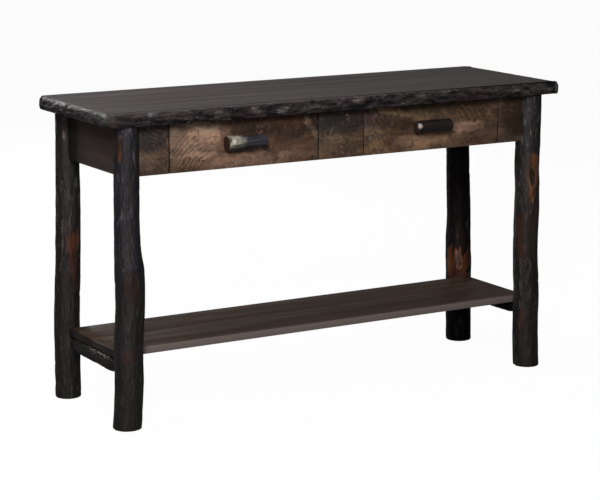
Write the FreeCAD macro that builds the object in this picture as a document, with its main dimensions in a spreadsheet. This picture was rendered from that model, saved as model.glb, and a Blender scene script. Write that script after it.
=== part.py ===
import FreeCAD, Part
import math
import os
import re
import Sketcher

# Rustic hickory sofa table: a waney-edged plank top on four bark-on log legs, an apron
# of saw-marked boards with two inset drawers, and a low shelf on two log stretchers.
# X runs along the table, the drawers open towards -Y, Z is up, and the origin is on
# the floor below the middle of the top.

# Driving dimensions, in millimetres
SIZES = {
    # Top: three edge-glued planks with a rough edge that leans out towards the bottom
    "table_height": 762,
    "top_length": 1300,
    "top_width": 412,
    "top_thickness": 32,
    "edge_lean": 3,
    "front_plank_width": 146,
    "back_plank_width": 128,
    "back_corner_radius": 24,
    "front_corner_radius": 10,
    "corner_mitre": 18,
    # Legs: hickory logs with the bark left on
    "leg_end_setback": 62,
    "leg_side_setback": 43,
    "leg_diameter": 64,
    "foot_bevel": 4,
    "socket_zone_low": 110,
    "socket_zone_high": 205,
    "slot_zone_low": 600,
    # Apron boards, housed in slots in the leg tops
    "apron_thickness": 19,
    "apron_height": 122,
    "apron_offset": 8,
    "housing_end": 16,
    # Drawer bays in the front board, between its three stiles
    "middle_stile_width": 130,
    "end_stile_width": 94,
    "front_side_gap": 1.6,
    "front_top_gap": 2,
    # Hidden frame behind the front board
    "rail_thickness": 19,
    "rail_depth": 40,
    "rail_leg_space": 38,
    "partition_thickness": 19,
    "cleat_size": 19,
    "end_cleat_space": 47,
    "back_cleat_space": 92,
    # Shelf and its stretchers
    "shelf_top": 185,
    "shelf_thickness": 18,
    "shelf_end_reach": 18,
    "shelf_side_setback": 33,
    "stretcher_left_diameter": 46,
    "stretcher_right_diameter": 38,
    "stretcher_end_stop": 13,
    "stretcher_taper_length": 31,
    "tenon_diameter": 27,
    "tenon_length": 24,
    "seat_depth": 3,
    # Drawer boxes
    "box_side": 12,
    "box_height": 74,
    "box_back_space": 34,
    "bottom_thickness": 6,
    "bottom_lift": 8,
    "groove_depth": 6,
    # Telescopic slides
    "slide_short_of_box": 20,
    "slide_setback": 2,
    "slide_height": 45,
    "slide_width": 12.7,
    "slide_gauge": 1.2,
    "slide_lip": 1.2,
    "slide_race_clearance": 0.3,
    "slide_web_gap": 0.8,
    "slide_outer_reach": 9.5,
    # Twig handles
    "handle_length": 115,
    "handle_left_diameter": 37,
    "handle_right_diameter": 32,
    "handle_shift": 5,
    "handle_lift": 1,
    "handle_axis_out": 13,
    # Screws
    "screw_diameter": 4.2,
    "screw_head_diameter": 8.4,
    "screw_head_height": 2.6,
    "top_screw_length": 40,
    "rail_screw_length": 54,
    "partition_screw_length": 50,
    "shelf_screw_bite": 10,
    "shelf_screw_proud": 0.2,
    "handle_screw_length": 46,
    "screw_inset": 30,
    "handle_screw_spacing": 60,
}

# Places worked out from the driving dimensions
PLACES = {
    "top_underside": "table_height - top_thickness",
    "apron_bottom": "top_underside - apron_height",
    "leg_axis_x": "top_length / 2 - leg_end_setback",
    "leg_axis_y": "top_width / 2 - leg_side_setback",
    "face_y": "leg_axis_y + apron_offset",
    "face_x": "leg_axis_x + apron_offset",
    "back_of_face_y": "face_y - apron_thickness",
    "back_of_face_x": "face_x - apron_thickness",
    "apron_end_x": "leg_axis_x - housing_end",
    "apron_end_y": "leg_axis_y - housing_end",
    "bay_inner_edge": "middle_stile_width / 2",
    "bay_outer_edge": "apron_end_x - end_stile_width",
    "rail_half_length": "leg_axis_x - rail_leg_space",
    "end_cleat_length": "2 * (apron_end_y - end_cleat_space)",
    "back_cleat_length": "2 * (apron_end_x - back_cleat_space)",
    "partition_bottom": "apron_bottom + rail_thickness",
    "partition_top": "top_underside - rail_thickness",
    "bay_middle_x": "(bay_inner_edge + bay_outer_edge) / 2",
    "bay_width": "bay_outer_edge - bay_inner_edge",
    "shelf_bottom": "shelf_top - shelf_thickness",
    "shelf_length": "2 * (leg_axis_x + shelf_end_reach)",
    "shelf_width": "2 * (leg_axis_y - shelf_side_setback)",
    "stretcher_length": "2 * (leg_axis_y - stretcher_end_stop)",
    "stretcher_body_length": "stretcher_length - 2 * (tenon_length + stretcher_taper_length)",
    "box_depth": "2 * back_of_face_y - box_back_space",
    "slide_length": "box_depth - slide_short_of_box",
    "box_bottom": "(partition_bottom + partition_top - box_height) / 2",
    "box_width": "bay_width - 2 * slide_width",
    "slide_middle": "(partition_bottom + partition_top) / 2",
    "slide_outer_half": "slide_height / 2",
    "slide_step": "slide_gauge + slide_lip + slide_race_clearance",
    "slide_middle_half": "slide_outer_half - slide_step",
    "slide_inner_half": "slide_middle_half - slide_step",
    "slide_middle_web": "slide_gauge + slide_web_gap",
    "slide_middle_open": "slide_width - slide_web_gap",
    "slide_inner_open": "slide_middle_web + slide_gauge + slide_web_gap",
    "handle_z": "apron_bottom + apron_height / 2 + handle_lift",
    "handle_axis_y": "-face_y - handle_axis_out",
}

# Log shapes as shares of the leg diameter: thickness, then wander of the centre along X
# and Y. The log is straight where it is joined: at the stretcher's socket and at the
# slots for the aprons. In between, each section starts with its share of the leg height.
LEG_SHARES = {
    "leg_front_left": {
        "foot": (1.091, -0.048, 0.029),
        "socket": (1.091, 0.030, -0.018),
        "between": [
            (0.40, 1.095, 0.095, -0.057),
            (0.52, 1.117, 0.082, -0.050),
            (0.61, 0.990, 0.028, -0.017),
        ],
        "slots": (0.950, 0.027, -0.016),
    },
    "leg_front_right": {
        "foot": (1.078, 0.075, -0.045),
        "socket": (1.062, 0.005, -0.003),
        "between": [
            (0.44, 1.030, -0.060, 0.036),
            (0.62, 1.020, -0.040, 0.024),
            (0.75, 1.016, -0.070, 0.042),
        ],
        "slots": (1.027, -0.058, 0.035),
    },
    "leg_back_left": {
        "foot": (1.016, -0.107, 0.064),
        "socket": (1.008, -0.096, 0.058),
        "between": [
            (0.45, 0.998, -0.045, 0.027),
            (0.62, 0.998, -0.008, 0.005),
        ],
        "slots": (0.945, -0.008, 0.005),
    },
    "leg_back_right": {
        "foot": (1.078, 0.177, -0.106),
        "socket": (1.108, 0.140, -0.085),
        "between": [
            (0.40, 1.090, 0.105, -0.063),
            (0.50, 1.025, 0.099, -0.060),
            (0.68, 1.000, 0.035, -0.021),
        ],
        "slots": (0.975, 0.010, -0.006),
    },
}
# Handle thickness from its left end to its right end, as shares of its diameter
HANDLE_SHARES = {
    "left": [1.00, 0.88, 0.78],
    "right": [0.97, 1.00, 0.98],
}
# Where each leg stands: side along X, then along Y
LEG_SIDES = {
    "leg_front_left": (-1, -1),
    "leg_front_right": (1, -1),
    "leg_back_left": (-1, 1),
    "leg_back_right": (1, 1),
}

WORD = re.compile(r"[a-z][a-z_]+")
V = FreeCAD.Vector
UP = FreeCAD.Rotation()
FORWARD = FreeCAD.Rotation(V(1, 0, 0), 90)

doc = FreeCAD.newDocument("hickory_table")
sheet = doc.addObject("Spreadsheet::Sheet", "Sizes")
for row, (alias, value) in enumerate(SIZES.items(), 1):
    sheet.set(f"A{row}", alias)
    sheet.set(f"B{row}", str(value))
    sheet.setAlias(f"B{row}", alias)
doc.recompute()
nodes = []


# Writes a sum of named sizes and places as an expression on the sheet
def ex(text):
    def named(match):
        word = match.group(0)
        if word in PLACES:
            return "(" + ex(PLACES[word]) + ")"
        if word in SIZES:
            return "Sizes." + word
        return word
    return WORD.sub(named, str(text))


def place(item, x, y, z, rotation=UP):
    item.Placement = FreeCAD.Placement(V(0, 0, 0), rotation)
    item.setExpression("Placement.Base.x", ex(x))
    item.setExpression("Placement.Base.y", ex(y))
    item.setExpression("Placement.Base.z", ex(z))


# Marks a finished piece as a sub-part under its own name
def keep(item, label):
    item.Label = label
    nodes.append(item)
    return item


# Sawn board from its low corner and its length, width and height
def board(name, x, y, z, length, width, height):
    item = doc.addObject("Part::Box", name)
    item.setExpression("Length", ex(length))
    item.setExpression("Width", ex(width))
    item.setExpression("Height", ex(height))
    place(item, x, y, z)
    return item


# Cuts each tool out of a piece
def cut_by(name, piece, tools):
    for step, tool in enumerate(tools):
        item = doc.addObject("Part::Cut", f"{name}_cut_{step}")
        item.Base = piece
        item.Tool = tool
        piece = item
    return piece


def group(name, items):
    item = doc.addObject("Part::Compound", name)
    item.Links = items
    return item


def sketch_on(body, name, role, x, y, along):
    plane = [p for p in body.Origin.OriginFeatures if p.Role == role][0]
    sketch = body.newObject("Sketcher::SketchObject", name)
    sketch.AttachmentSupport = (plane, [""])
    sketch.MapMode = "FlatFace"
    sketch.setExpression("AttachmentOffset.Base.x", ex(x))
    sketch.setExpression("AttachmentOffset.Base.y", ex(y))
    sketch.setExpression("AttachmentOffset.Base.z", ex(along))
    return sketch


# Closed outline through corners given as sums of named sizes
def outline(sketch, corners):
    count = len(corners)
    for i in range(count):
        turn = 2 * math.pi / count
        first = V(math.cos(i * turn), math.sin(i * turn), 0)
        second = V(math.cos((i + 1) * turn), math.sin((i + 1) * turn), 0)
        sketch.addGeometry(Part.LineSegment(first, second), False)
    for i in range(count):
        sketch.addConstraint(Sketcher.Constraint("Coincident", i, 2, (i + 1) % count, 1))
    for i, (x, y) in enumerate(corners):
        for kind, axis, value in (("DistanceX", -2, x), ("DistanceY", -1, y)):
            if str(value) == "0":
                sketch.addConstraint(Sketcher.Constraint("PointOnObject", i, 1, axis))
                continue
            index = sketch.addConstraint(Sketcher.Constraint(kind, -1, 1, i, 1, 1.0))
            sketch.renameConstraint(index, f"{kind}_{i}")
            sketch.setExpression(f"Constraints.{kind}_{i}", ex(value))


# Round section of a log, drawn as four quarter arcs
def ring(sketch, radius):
    circle = Part.Circle(V(0, 0, 0), V(0, 0, 1), 1)
    for i in range(4):
        sketch.addGeometry(Part.ArcOfCircle(circle, i * math.pi / 2, (i + 1) * math.pi / 2), False)
        sketch.addConstraint(Sketcher.Constraint("Coincident", i, 3, -1, 1))
    index = sketch.addConstraint(Sketcher.Constraint("Radius", 0, 1.0))
    sketch.renameConstraint(index, "radius")
    for i in range(4):
        sketch.addConstraint(Sketcher.Constraint("Coincident", i, 2, (i + 1) % 4, 1))
    for i in range(4):
        sketch.addConstraint(Sketcher.Constraint("PointOnObject", i, 1, -1 - i % 2))
    sketch.setExpression("Constraints.radius", ex(radius))


def loft_through(body, name, sections):
    loft = body.newObject("PartDesign::AdditiveLoft", name)
    loft.Profile = sections[0]
    loft.Sections = sections[1:]
    loft.Ruled = True
    return loft


# Straight length of log raised from a round section
def pad_from(body, name, section, length):
    pad = body.newObject("PartDesign::Pad", name)
    pad.Profile = section
    pad.setExpression("Length", ex(length))
    return pad


# Turned log: an outline swung round one axis of its sketch
def turn_about(body, name, profile, axis):
    turned = body.newObject("PartDesign::Revolution", name)
    turned.Profile = profile
    turned.ReferenceAxis = (profile, [axis])
    turned.Angle = 360
    return turned


# Wood screw with its head let in flush: a shank and a wider head, both faceted
def screw(name, x, y, z, rotation, length):
    prisms = []
    for part, diameter, height in (
        ("shank", "screw_diameter", length),
        ("head", "screw_head_diameter", "screw_head_height"),
    ):
        prism = doc.addObject("Part::Prism", f"{name}_{part}")
        prism.Polygon = 6
        prism.setExpression("Circumradius", ex(f"{diameter} / 2"))
        prism.setExpression("Height", ex(height))
        place(prism, x, y, z, rotation)
        prisms.append(prism)
    item = doc.addObject("Part::Fuse", name)
    item.Base = prisms[0]
    item.Tool = prisms[1]
    return item


# Screws that hold the top: up through the cleats and the upper front rail
top_spots = []
for side in (-1, 1):
    for end in (-1, 1):
        top_spots.append((
            f"{side} * (back_of_face_x - cleat_size / 2)",
            f"{end} * (end_cleat_length / 2 - screw_inset)",
        ))
for side in (-1, 0, 1):
    top_spots.append((
        f"{side} * (back_cleat_length / 2 - screw_inset)",
        "back_of_face_y - cleat_size / 2",
    ))
for side in (-1, 1):
    top_spots.append((f"{side} * bay_middle_x", "rail_depth / 2 - back_of_face_y"))
top_screws = group("top_screws_group", [
    screw(f"top_screw_{i}", x, y, "partition_top", UP, "top_screw_length")
    for i, (x, y) in enumerate(top_spots)
])
keep(top_screws, "top_screws")

# Screws that hold the stiles: from behind, through both front rails
stile_spots = [
    "-(bay_outer_edge + rail_half_length) / 2",
    "0",
    "(bay_outer_edge + rail_half_length) / 2",
]
stile_screws = group("stile_screws_group", [
    screw(f"stile_screw_{i}_{level}", x, "rail_depth - back_of_face_y", z, FORWARD, "rail_screw_length")
    for i, x in enumerate(stile_spots)
    for level, z in enumerate(("apron_bottom + rail_thickness / 2", "top_underside - rail_thickness / 2"))
])
keep(stile_screws, "stile_screws")

# Screws that hold the partitions: through the back apron into their ends
partition_middles = {
    "partition_left_outer": "-bay_outer_edge - partition_thickness / 2",
    "partition_left_inner": "-bay_inner_edge + partition_thickness / 2",
    "partition_right_inner": "bay_inner_edge - partition_thickness / 2",
    "partition_right_outer": "bay_outer_edge + partition_thickness / 2",
}
partition_screws = group("partition_screws_group", [
    screw(f"{name}_screw", x, "face_y", "(partition_bottom + partition_top) / 2", FORWARD,
          "partition_screw_length")
    for name, x in partition_middles.items()
])
keep(partition_screws, "partition_screws")

# Screws that hold the shelf: up through the stretchers into each plank
shelf_screws = group("shelf_screws_group", [
    screw(
        f"shelf_screw_{end}_{plank}",
        f"{2 * end - 1} * leg_axis_x",
        f"{2 * plank - 1} * shelf_width / 4",
        f"shelf_bottom + seat_depth - {diameter} - shelf_screw_proud", UP,
        f"{diameter} + shelf_screw_proud - seat_depth + shelf_screw_bite",
    )
    for end, diameter in enumerate(("stretcher_left_diameter", "stretcher_right_diameter"))
    for plank in (0, 1)
])
keep(shelf_screws, "shelf_screws")

# Top blank: tapered slab with rounded corners, one of them cut across by chisel
top_body = doc.addObject("PartDesign::Body", "top_blank")
top_outline = sketch_on(top_body, "top_outline", "XY_Plane", "0", "0", "0")
outline(top_outline, [
    ("-top_length / 2", "corner_mitre - top_width / 2"),
    ("corner_mitre - top_length / 2", "-top_width / 2"),
    ("top_length / 2", "-top_width / 2"),
    ("top_length / 2", "top_width / 2"),
    ("-top_length / 2", "top_width / 2"),
])
top_pad = top_body.newObject("PartDesign::Pad", "top_pad")
top_pad.Profile = top_outline
top_pad.setExpression("Length", ex("top_thickness"))
top_pad.setExpression("TaperAngle", ex("-atan(edge_lean / top_thickness)"))
place(top_body, "0", "0", "top_underside")
doc.recompute()
top_rounded = top_pad
for corner, radius in (("back", "back_corner_radius"), ("front", "front_corner_radius")):
    corner_edges = []
    for i, edge in enumerate(top_rounded.Shape.Edges, 1):
        ends = [vertex.Point for vertex in edge.Vertexes]
        rises = len(ends) == 2 and abs(ends[0].z - ends[1].z) > sheet.top_thickness / 2
        if rises and all(p.y > 0 if corner == "back" else p.y < 0 < p.x and
                         p.x > sheet.top_length / 2 - sheet.corner_mitre for p in ends):
            corner_edges.append(f"Edge{i}")
    rounding = top_body.newObject("PartDesign::Fillet", f"top_{corner}_corners")
    rounding.Base = (top_rounded, corner_edges)
    rounding.setExpression("Radius", ex(radius))
    doc.recompute()
    top_rounded = rounding

# Three planks sawn from the blank, with the screw holes in their underside
plank_strips = {
    "top_board_front": ("-top_width / 2", "front_plank_width"),
    "top_board_middle": ("front_plank_width - top_width / 2",
                         "top_width - front_plank_width - back_plank_width"),
    "top_board_back": ("top_width / 2 - back_plank_width", "back_plank_width"),
}
for name, (y, width) in plank_strips.items():
    strip = board(f"{name}_strip", "-top_length / 2", y, "top_underside", "top_length", width, "top_thickness")
    plank = doc.addObject("Part::Common", f"{name}_plank")
    plank.Base = top_body
    plank.Tool = strip
    keep(cut_by(name, plank, [top_screws]), name)

# Front board, cut into three stiles and the two drawer fronts
middle_stile = board("stile_middle_blank", "-bay_inner_edge", "-face_y", "apron_bottom",
                     "2 * bay_inner_edge", "apron_thickness", "apron_height")
left_stile = board("stile_left_blank", "-apron_end_x", "-face_y", "apron_bottom",
                   "apron_end_x - bay_outer_edge", "apron_thickness", "apron_height")
right_stile = board("stile_right_blank", "bay_outer_edge", "-face_y", "apron_bottom",
                    "apron_end_x - bay_outer_edge", "apron_thickness", "apron_height")
stile_left = keep(cut_by("stile_left", left_stile, [stile_screws]), "stile_left")
stile_middle = keep(cut_by("stile_middle", middle_stile, [stile_screws]), "stile_middle")
stile_right = keep(cut_by("stile_right", right_stile, [stile_screws]), "stile_right")

# End and back aprons
apron_left = keep(board("apron_left_board", "-face_x", "-apron_end_y", "apron_bottom",
                        "apron_thickness", "2 * apron_end_y", "apron_height"), "apron_left")
apron_right = keep(board("apron_right_board", "back_of_face_x", "-apron_end_y", "apron_bottom",
                         "apron_thickness", "2 * apron_end_y", "apron_height"), "apron_right")
back_blank = board("apron_back_blank", "-apron_end_x", "back_of_face_y", "apron_bottom",
                   "2 * apron_end_x", "apron_thickness", "apron_height")
apron_back = keep(cut_by("apron_back", back_blank, [partition_screws]), "apron_back")

# Front rails behind the stiles, above and below the drawer boxes
for name, z, tools in (
    ("rail_upper", "partition_top", [top_screws, stile_screws]),
    ("rail_lower", "apron_bottom", [stile_screws]),
):
    rail = board(f"{name}_blank", "-rail_half_length", "-back_of_face_y", z,
                 "2 * rail_half_length", "rail_depth", "rail_thickness")
    keep(cut_by(name, rail, tools), name)

# Partitions that carry the slides, from the front board to the back apron
for name, middle in partition_middles.items():
    blank = board(f"{name}_blank", f"{middle} - partition_thickness / 2", "-back_of_face_y",
                  "partition_bottom", "partition_thickness", "2 * back_of_face_y",
                  "partition_top - partition_bottom")
    keep(cut_by(name, blank, [partition_screws]), name)

# Cleats under the top along the end aprons and the back apron
for name, x in (("cleat_left", "-back_of_face_x"), ("cleat_right", "back_of_face_x - cleat_size")):
    cleat = board(f"{name}_blank", x, "-end_cleat_length / 2", "partition_top",
                  "cleat_size", "end_cleat_length", "rail_thickness")
    keep(cut_by(name, cleat, [top_screws]), name)
back_cleat = board("cleat_back_blank", "-back_cleat_length / 2", "back_of_face_y - cleat_size",
                   "partition_top", "back_cleat_length", "cleat_size", "rail_thickness")
keep(cut_by("cleat_back", back_cleat, [top_screws]), "cleat_back")

# Logs for the legs, with a bevelled foot, each with its own bow and bulges
logs = {}
for name, shares in LEG_SHARES.items():
    body = doc.addObject("PartDesign::Body", f"{name}_log")

    def section(label, height, share, less="0"):
        thick, wander_x, wander_y = share
        item = sketch_on(body, f"{name}_{label}", "XY_Plane", f"leg_diameter * {wander_x}",
                         f"leg_diameter * {wander_y}", height)
        ring(item, f"leg_diameter * {thick} / 2 - {less}")
        return item

    socket_low = section("socket_low", "socket_zone_low", shares["socket"])
    loft_through(body, f"{name}_foot", [
        section("foot_sole", "0", shares["foot"], "foot_bevel"),
        section("foot_rim", "foot_bevel", shares["foot"]),
        socket_low,
    ])
    pad_from(body, f"{name}_socket_zone", section("socket_start", "socket_zone_low", shares["socket"]),
             "socket_zone_high - socket_zone_low")
    bowed = [section("bow_start", "socket_zone_high", shares["socket"])]
    for i, (height, *share) in enumerate(shares["between"]):
        bowed.append(section(f"bow_{i}", f"top_underside * {height}", share))
    bowed.append(section("bow_end", "slot_zone_low", shares["slots"]))
    loft_through(body, f"{name}_bow", bowed)
    pad_from(body, f"{name}_slot_zone", section("slot_start", "slot_zone_low", shares["slots"]),
             "top_underside - slot_zone_low")
    side_x, side_y = LEG_SIDES[name]
    place(body, f"{side_x} * leg_axis_x", f"{side_y} * leg_axis_y", "0")
    logs[name] = body

# Shelf planks, scribed to the legs
shelf_blanks = []
for name, y in (("shelf_front", "-shelf_width / 2"), ("shelf_back", "0")):
    blank = board(f"{name}_blank", "-shelf_length / 2", y, "shelf_bottom",
                  "shelf_length", "shelf_width / 2", "shelf_thickness")
    shelf_blanks.append(blank)
    keep(cut_by(name, blank, list(logs.values()) + [shelf_screws]), name)

# Stretchers: logs along Y with tenoned ends, and a flat planed on top for the shelf
stretchers = {}
for side, diameter in ((-1, "stretcher_left_diameter"), (1, "stretcher_right_diameter")):
    name = "stretcher_left" if side < 0 else "stretcher_right"
    body = doc.addObject("PartDesign::Body", f"{name}_log")
    profile = sketch_on(body, f"{name}_profile", "XY_Plane", "0", "0", "0")
    half = [
        ("0", "stretcher_length / 2"),
        ("tenon_diameter / 2", "stretcher_length / 2"),
        ("tenon_diameter / 2", "stretcher_length / 2 - tenon_length"),
        (f"{diameter} / 2", "stretcher_body_length / 2"),
    ]
    outline(profile, [(u, f"-({v})") for u, v in half] + half[::-1])
    turn_about(body, f"{name}_turned", profile, "V_Axis")
    place(body, f"{side} * leg_axis_x", "0", f"shelf_bottom + seat_depth - {diameter} / 2")
    seated = cut_by(name, body, shelf_blanks + [shelf_screws])
    stretchers[side] = keep(seated, name)

# Legs: each log with slots for its two apron boards and a socket for a stretcher's tenon
leg_joints = {
    "leg_front_left": [stile_left, apron_left, stretchers[-1]],
    "leg_front_right": [stile_right, apron_right, stretchers[1]],
    "leg_back_left": [apron_back, apron_left, stretchers[-1]],
    "leg_back_right": [apron_back, apron_right, stretchers[1]],
}
for name, tools in leg_joints.items():
    keep(cut_by(name, logs[name], tools), name)


# Channel of a slide: web on one side, two flanges with lips turned inwards
def channel(name, sign, x, y, web, mouth, half, inward):
    body = doc.addObject("PartDesign::Body", f"{name}_body")
    profile = sketch_on(body, f"{name}_profile", "XZ_Plane", "0", "0", "0")
    web_face = f"{sign} * ({web} + {inward} * slide_gauge)"
    lip_face = f"{sign} * ({mouth} - {inward} * slide_gauge)"
    web = f"{sign} * ({web})"
    mouth = f"{sign} * ({mouth})"
    lower = [
        (web, f"-({half})"),
        (mouth, f"-({half})"),
        (mouth, f"slide_gauge + slide_lip - ({half})"),
        (lip_face, f"slide_gauge + slide_lip - ({half})"),
        (lip_face, f"slide_gauge - ({half})"),
        (web_face, f"slide_gauge - ({half})"),
    ]
    upper = [(u, f"-({v})") for u, v in reversed(lower)]
    outline(profile, lower + upper)
    pad = body.newObject("PartDesign::Pad", f"{name}_pad")
    pad.Profile = profile
    pad.setExpression("Length", ex("slide_length"))
    pad.Reversed = True
    place(body, x, y, "slide_middle")
    return keep(body, name)


# Slides: fixed, middle and drawer member on each side of each bay
for bay, edges in (("left", ("-bay_outer_edge", "-bay_inner_edge")),
                   ("right", ("bay_inner_edge", "bay_outer_edge"))):
    for sign, hand, x in ((1, "l", edges[0]), (-1, "r", edges[1])):
        y = "slide_setback - back_of_face_y"
        channel(f"{bay}_slide_{hand}_fixed", sign, x, y, "0", "slide_outer_reach", "slide_outer_half", 1)
        channel(f"{bay}_slide_{hand}_middle", sign, x, y,
                "slide_middle_web", "slide_middle_open", "slide_middle_half", 1)
        channel(f"{bay}_slide_{hand}_drawer", sign, x, y,
                "slide_width", "slide_inner_open", "slide_inner_half", -1)

# Drawers: box with a grooved-in bottom, saw-marked front and twig handle
for bay, side, diameter in (("left", -1, "handle_left_diameter"), ("right", 1, "handle_right_diameter")):
    middle = f"({side} * bay_middle_x)"
    box_front_y = "-back_of_face_y"
    side_z = "box_bottom"
    grip_x = f"({middle} - handle_shift)"
    handle_screws = group(f"{bay}_handle_screws_group", [
        screw(f"{bay}_handle_screw_{i}", f"{grip_x} + {2 * i - 1} * handle_screw_spacing / 2",
              "box_side - back_of_face_y", "handle_z", FORWARD, "handle_screw_length")
        for i in (0, 1)
    ])
    keep(handle_screws, f"{bay}_handle_screws")

    front = board(f"{bay}_drawer_front_blank", f"{middle} - bay_width / 2 + front_side_gap", "-face_y",
                  "apron_bottom", "bay_width - 2 * front_side_gap", "apron_thickness",
                  "apron_height - front_top_gap")
    keep(cut_by(f"{bay}_drawer_front", front, [handle_screws]), f"{bay}_drawer_front")

    bottom = board(f"{bay}_drawer_bottom_board", f"{middle} - box_width / 2 + box_side - groove_depth",
                   "box_side - groove_depth - back_of_face_y", "box_bottom + bottom_lift",
                   "box_width - 2 * box_side + 2 * groove_depth",
                   "box_depth - box_side + groove_depth", "bottom_thickness")
    keep(bottom, f"{bay}_drawer_bottom")

    inner_front = board(f"{bay}_box_front_blank", f"{middle} - box_width / 2 + box_side", box_front_y,
                        side_z, "box_width - 2 * box_side", "box_side", "box_height")
    keep(cut_by(f"{bay}_box_front", inner_front, [bottom, handle_screws]), f"{bay}_box_front")

    for hand, x in (("l", f"{middle} - box_width / 2"), ("r", f"{middle} + box_width / 2 - box_side")):
        wall = board(f"{bay}_box_side_{hand}_blank", x, box_front_y, side_z,
                     "box_side", "box_depth", "box_height")
        keep(cut_by(f"{bay}_box_side_{hand}", wall, [bottom]), f"{bay}_box_side_{hand}")

    rear = board(f"{bay}_box_back_board", f"{middle} - box_width / 2 + box_side",
                 "box_depth - box_side - back_of_face_y",
                 "box_bottom + bottom_lift + bottom_thickness",
                 "box_width - 2 * box_side", "box_side",
                 "box_height - bottom_lift - bottom_thickness")
    keep(rear, f"{bay}_box_back")

    twig = doc.addObject("PartDesign::Body", f"{bay}_handle_twig")
    profile = sketch_on(twig, f"{bay}_handle_profile", "XY_Plane", "0", "0", "0")
    shares = HANDLE_SHARES[bay]
    count = len(shares) - 1
    rims = [(f"handle_length * ({i} - {count} / 2) / {count}", f"{diameter} * {share} / 2")
            for i, share in enumerate(shares)]
    rims[1:-1] = [("0", rim) for along, rim in rims[1:-1]]
    outline(profile, [(rims[0][0], "0")] + rims + [(rims[-1][0], "0")])
    turn_about(twig, f"{bay}_handle_turned", profile, "H_Axis")
    place(twig, grip_x, "handle_axis_y", "handle_z")
    keep(cut_by(f"{bay}_handle", twig, [front, handle_screws]), f"{bay}_handle")

doc.recompute()

# Every feature and every sub-part has to be sound before anything is written
for item in doc.Objects:
    if "Invalid" in item.State or "Error" in item.State:
        raise RuntimeError(f"{item.Name} failed: {item.State}")
for item in nodes:
    if item.Shape.isNull() or not item.Shape.isValid() or item.Shape.Volume <= 0:
        raise RuntimeError(f"{item.Label} has no valid shape")

os.makedirs("parts", exist_ok=True)
for item in nodes:
    item.Shape.exportStep(f"parts/{item.Label}.step")
    box = item.Shape.BoundBox
    print(f"{item.Label:26s} solids {len(item.Shape.Solids):2d}  volume {item.Shape.Volume:12.0f}  "
          f"x {box.XMin:8.1f} {box.XMax:8.1f}  y {box.YMin:7.1f} {box.YMax:7.1f}  "
          f"z {box.ZMin:6.1f} {box.ZMax:6.1f}")
print("nodes", len(nodes))
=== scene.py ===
import math
import bpy
from mathutils import Matrix, Vector, noise


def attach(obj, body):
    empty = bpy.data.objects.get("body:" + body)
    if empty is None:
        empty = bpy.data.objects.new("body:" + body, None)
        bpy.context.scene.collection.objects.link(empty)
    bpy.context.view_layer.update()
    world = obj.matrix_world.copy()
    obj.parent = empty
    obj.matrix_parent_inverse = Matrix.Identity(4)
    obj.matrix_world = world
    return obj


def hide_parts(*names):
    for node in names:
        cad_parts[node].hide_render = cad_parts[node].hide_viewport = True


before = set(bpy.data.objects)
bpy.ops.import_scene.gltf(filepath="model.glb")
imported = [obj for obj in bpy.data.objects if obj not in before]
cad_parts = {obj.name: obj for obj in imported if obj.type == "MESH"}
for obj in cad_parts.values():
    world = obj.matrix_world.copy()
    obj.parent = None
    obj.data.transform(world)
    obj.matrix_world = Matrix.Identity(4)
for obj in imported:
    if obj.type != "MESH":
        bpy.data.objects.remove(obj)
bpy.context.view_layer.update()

# Legs: four hickory logs with the bark left on under a clear coat, sawn square on top and
# bevelled at the foot. Each bows and swells in its own way, and where bark has come off the
# bare wood shows orange, red-brown or olive.
mm = 0.001
leg_height = 0.730
leg_out, leg_deep = 588, 163
leg_spots = {
    "leg_front_left": (-leg_out, -leg_deep), "leg_front_right": (leg_out, -leg_deep),
    "leg_back_left": (-leg_out, leg_deep), "leg_back_right": (leg_out, leg_deep),
}
# Stations up each log, in millimetres: height, radius, and how far the log's centre lies to
# the right of its spot and behind it
leg_stations = {
    "leg_front_left": [
        (0, 34.9, -3.1, 1.9), (110, 34.9, 1.9, -1.2), (205, 34.9, 1.9, -1.2), (292, 35.0, 6.1, -3.6),
        (380, 35.7, 5.2, -3.2), (445, 31.7, 1.8, -1.1), (600, 30.4, 1.7, -1.0), (730, 30.4, 1.7, -1.0)],
    "leg_front_right": [
        (0, 34.5, 4.8, -2.9), (110, 34.0, 0.3, -0.2), (205, 34.0, 0.3, -0.2), (321, 33.0, -3.8, 2.3),
        (453, 32.6, -2.6, 1.5), (548, 32.5, -4.5, 2.7), (600, 32.9, -3.7, 2.2), (730, 32.9, -3.7, 2.2)],
    "leg_back_left": [
        (0, 32.5, -6.8, 4.1), (110, 32.3, -6.1, 3.7), (205, 32.3, -6.1, 3.7), (328, 31.9, -2.9, 1.7),
        (453, 31.6, -0.2, 0.1), (600, 29.0, 1.0, -0.6), (730, 28.6, 1.6, -1.0)],
    "leg_back_right": [
        (0, 34.5, 11.3, -6.8), (110, 35.5, 9.0, -5.4), (205, 35.5, 9.0, -5.4), (292, 34.9, 6.7, -4.0),
        (365, 32.8, 6.3, -3.8), (496, 32.0, 2.2, -1.3), (600, 31.2, 0.6, -0.4), (730, 31.2, 0.6, -0.4)],
}
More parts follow.
